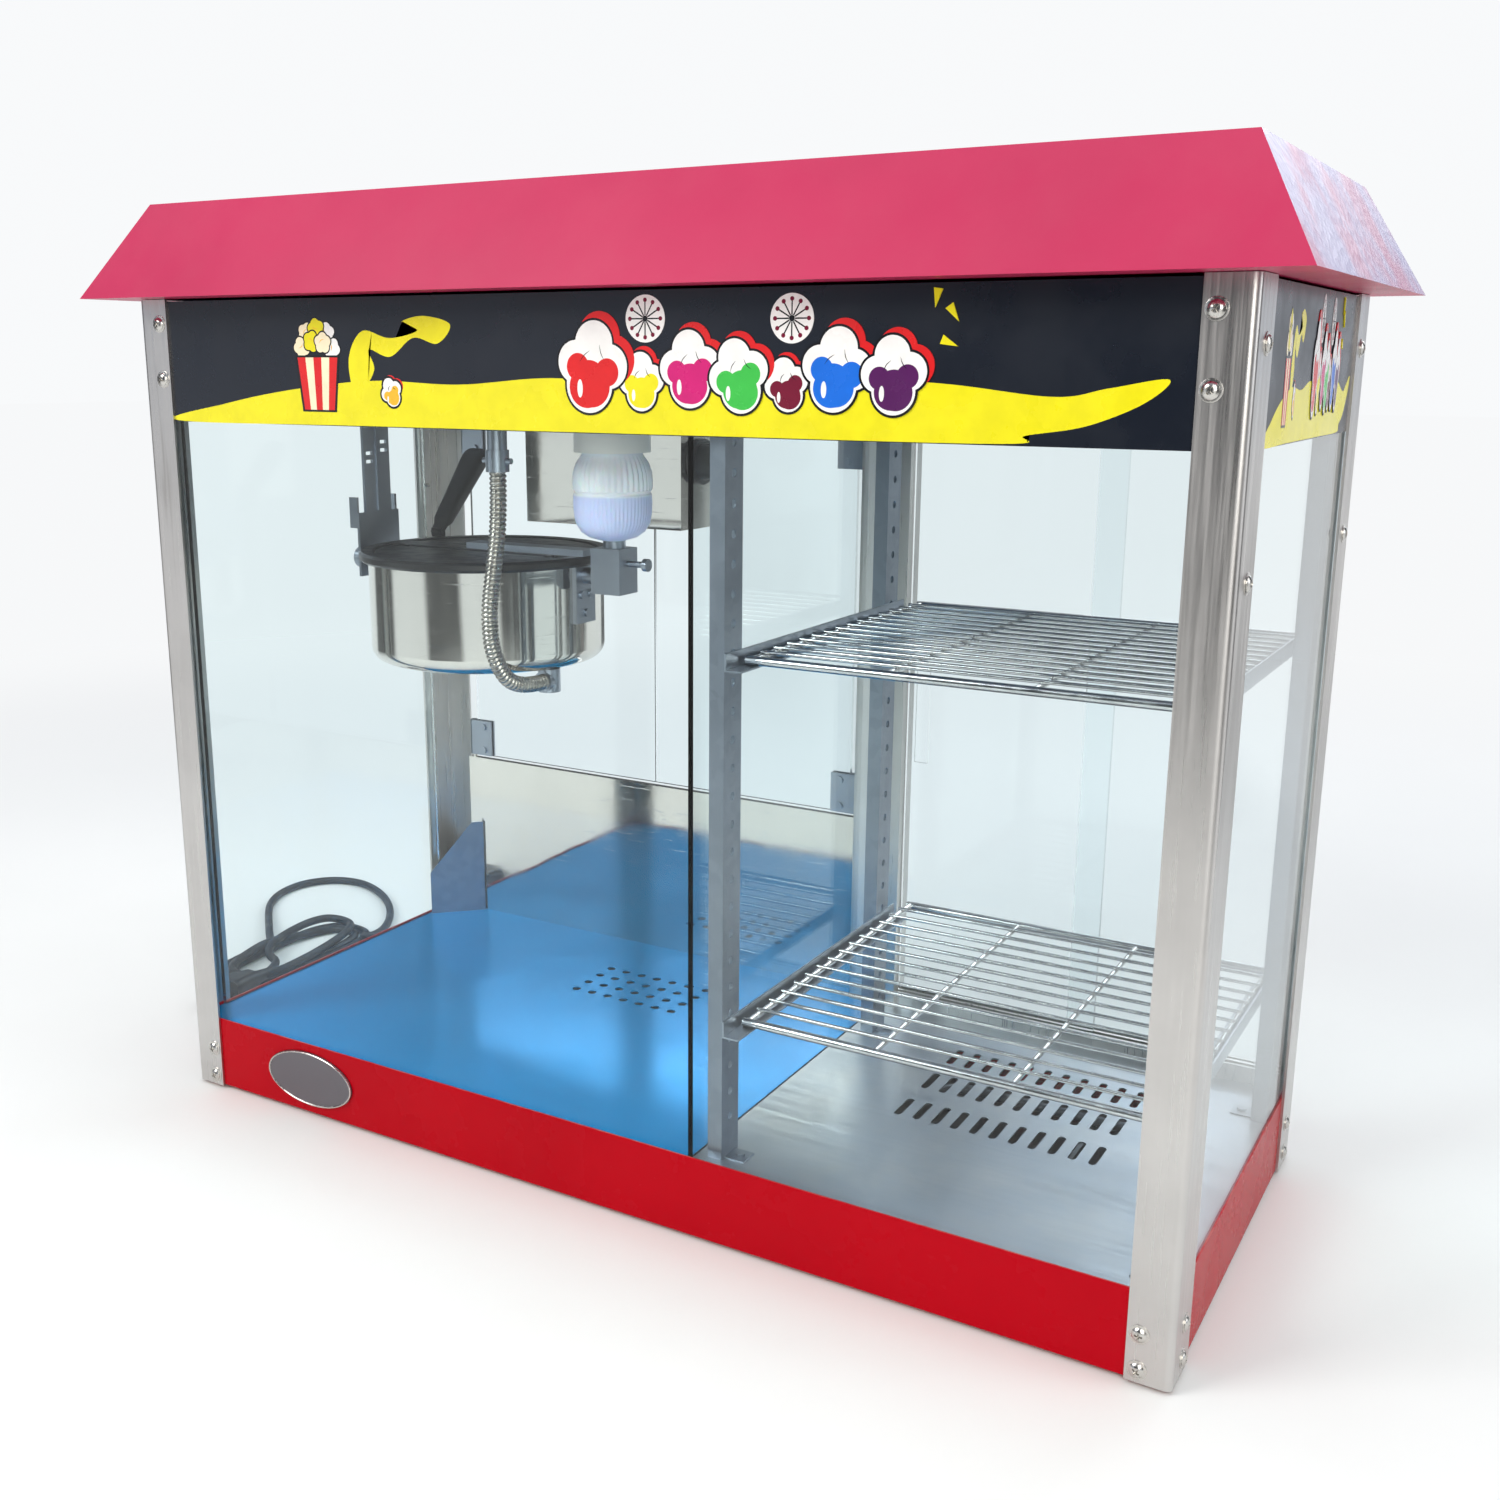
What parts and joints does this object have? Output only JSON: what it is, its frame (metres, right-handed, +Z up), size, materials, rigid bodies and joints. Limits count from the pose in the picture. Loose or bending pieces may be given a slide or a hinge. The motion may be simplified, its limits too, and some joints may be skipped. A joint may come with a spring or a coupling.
{
  "type": "popcorn machine with warming showcase",
  "caption": "Counter-top popcorn machine: glazed cabinet with a tilting stirred kettle, lamp and drawer, beside a showcase with wire shelves, under a painted roof.",
  "frame": {"origin": "centre of the machine's footprint, on the surface that it stands on", "axes": "+X to the customer's right, +Y to the back, +Z up"},
  "size_m": [1.2042, 0.5119, 0.744],
  "materials": {
    "roof_paint": "sheen",
    "base_paint": "gloss",
    "fascia_art": "gloss",
    "aluminium": "satin",
    "galvanised": "galvanised",
    "stainless": "brushed",
    "mirror_steel": "mirror polished",
    "wire": "bright",
    "blue_floor": "blue film on sheet steel",
    "glass": "clear",
    "acrylic": "clear acrylic",
    "badge_metal": "anodised",
    "screw_steel": "bright zinc",
    "black_coat": "non-stick",
    "black_plastic": "fine grain",
    "white_plastic": "satin",
    "bulb_plastic": "diffusing",
    "red_plastic": "gloss",
    "rubber": "matt",
    "cord_pvc": "soft PVC",
    "conduit_steel": "spiral",
    "motor_paint": "satin"
  },
  "bodies": {
    "machine": {"corner_posts": "aluminium", "front_skirt": "base_paint", "rear_skirt": "base_paint", "side_skirts": "base_paint", "base_pan": "galvanised", "rubber_feet": "rubber", "popcorn_floor": "blue_floor", "showcase_floor": "stainless", "fascia_front": "fascia_art", "fascia_rear": "fascia_art", "side_fascias": "fascia_art", "ceiling_plate": "stainless", "roof_cover": "roof_paint", "outer_glass": "glass", "partition_glass": "glass", "badge": "badge_metal", "frame_screws": "screw_steel", "rear_lower_panel": "mirror_steel", "rear_rails": "aluminium", "corner_guard": "galvanised", "shelf_standards": "galvanised", "shelf_rails": "stainless", "showcase_heater": "stainless", "right_hanger": "stainless", "left_hanger": "stainless", "stir_motor": "motor_paint", "conduit_dropper": "stainless", "kettle_conduit": "conduit_steel", "control_box": "mirror_steel", "lamp_holder": "white_plastic", "led_bulb": "bulb_plastic", "switch_housings": "black_plastic", "cord_gland": "black_plastic", "power_cord": "cord_pvc", "cord_hank": "cord_pvc", "plug": "black_plastic"},
    "kettle": {"kettle_jacket": "mirror_steel", "kettle_bowl": "black_coat", "kettle_crossbar": "stainless", "kettle_heater": "stainless", "kettle_pivots": "stainless", "kettle_handle": "black_plastic"},
    "lid_front": {"lid_front": "black_coat"},
    "lid_rear": {"lid_rear": "black_coat"},
    "stirrer": {"stirrer": "stainless"},
    "cross_shaft": {"cross_shaft": "stainless"},
    "drive_shaft": {"drive_shaft": "stainless"},
    "door_left": {"door_left": "acrylic", "door_left_clamps": "stainless"},
    "door_right": {"door_right": "acrylic", "door_right_clamps": "stainless"},
    "showcase_door_inner": {"showcase_door_inner": "acrylic"},
    "showcase_door_outer": {"showcase_door_outer": "acrylic"},
    "shelf_upper": {"shelf_upper": "wire"},
    "shelf_lower": {"shelf_lower": "wire"},
    "crumb_drawer": {"crumb_drawer": "stainless"},
    "thermostat_knob": {"thermostat_knob": "black_plastic"},
    "rocker_heat": {"rocker_heat": "red_plastic"},
    "rocker_stir": {"rocker_stir": "black_plastic"},
    "rocker_light": {"rocker_light": "black_plastic"}
  },
  "joints": [
    {"name": "kettle_tilt", "type": "hinge", "parent": "machine", "child": "kettle", "pos_m": [-0.208, -0.028, 0.458], "axis": [-1, 0, 0], "range_deg": [0, 90], "deforming": ["kettle_conduit"]},
    {"name": "lid_front_lift", "type": "hinge", "parent": "kettle", "child": "lid_front", "pos_m": [-0.208, -0.0415, 0.472], "axis": [-1, 0, 0], "range_deg": [0, 80]},
    {"name": "lid_rear_lift", "type": "hinge", "parent": "kettle", "child": "lid_rear", "pos_m": [-0.208, -0.0145, 0.472], "axis": [1, 0, 0], "range_deg": [0, 80]},
    {"name": "drive_shaft_turn", "type": "hinge", "parent": "machine", "child": "drive_shaft", "pos_m": [-0.08, -0.028, 0.53], "axis": [0, 0, 1], "continuous": true},
    {"name": "cross_shaft_turn", "type": "hinge", "parent": "kettle", "child": "cross_shaft", "pos_m": [-0.144, -0.028, 0.458], "axis": [1, 0, 0], "continuous": true},
    {"name": "stirrer_turn", "type": "hinge", "parent": "kettle", "child": "stirrer", "pos_m": [-0.208, -0.028, 0.43], "axis": [0, 0, -1], "continuous": true},
    {"name": "door_left_swing", "type": "hinge", "parent": "machine", "child": "door_left", "pos_m": [-0.392, 0.1746, 0.4], "axis": [0, 0, 1], "range_deg": [0, 110]},
    {"name": "door_right_swing", "type": "hinge", "parent": "machine", "child": "door_right", "pos_m": [0.039, 0.1746, 0.4], "axis": [0, 0, -1], "range_deg": [0, 110]},
    {"name": "showcase_door_inner_slide", "type": "slide", "parent": "machine", "child": "showcase_door_inner", "axis": [1, 0, 0], "range_m": [0, 0.151]},
    {"name": "showcase_door_outer_slide", "type": "slide", "parent": "machine", "child": "showcase_door_outer", "axis": [-1, 0, 0], "range_m": [0, 0.151]},
    {"name": "shelf_upper_lift", "type": "slide", "parent": "machine", "child": "shelf_upper", "axis": [0, 0, 1], "range_m": [0, 0.02]},
    {"name": "shelf_lower_lift", "type": "slide", "parent": "machine", "child": "shelf_lower", "axis": [0, 0, 1], "range_m": [0, 0.02]},
    {"name": "crumb_drawer_slide", "type": "slide", "parent": "machine", "child": "crumb_drawer", "axis": [0, 1, 0], "range_m": [0, 0.13]},
    {"name": "thermostat_turn", "type": "hinge", "parent": "machine", "child": "thermostat_knob", "pos_m": [-0.076, 0.092, 0.543], "axis": [1, 0, 0], "range_deg": [0, 270]},
    {"name": "rocker_heat_press", "type": "hinge", "parent": "machine", "child": "rocker_heat", "pos_m": [-0.205, 0.1765, 0.625], "axis": [1, 0, 0], "range_deg": [0, 16]},
    {"name": "rocker_stir_press", "type": "hinge", "parent": "machine", "child": "rocker_stir", "pos_m": [-0.165, 0.1765, 0.625], "axis": [1, 0, 0], "range_deg": [0, 16]},
    {"name": "rocker_light_press", "type": "hinge", "parent": "machine", "child": "rocker_light", "pos_m": [-0.125, 0.1765, 0.625], "axis": [1, 0, 0], "range_deg": [0, 16]}
  ],
  "couplings": [
    {"joint": "cross_shaft_turn", "follows": "stirrer_turn", "ratio": 1},
    {"joint": "drive_shaft_turn", "follows": "stirrer_turn", "ratio": 1}
  ]
}
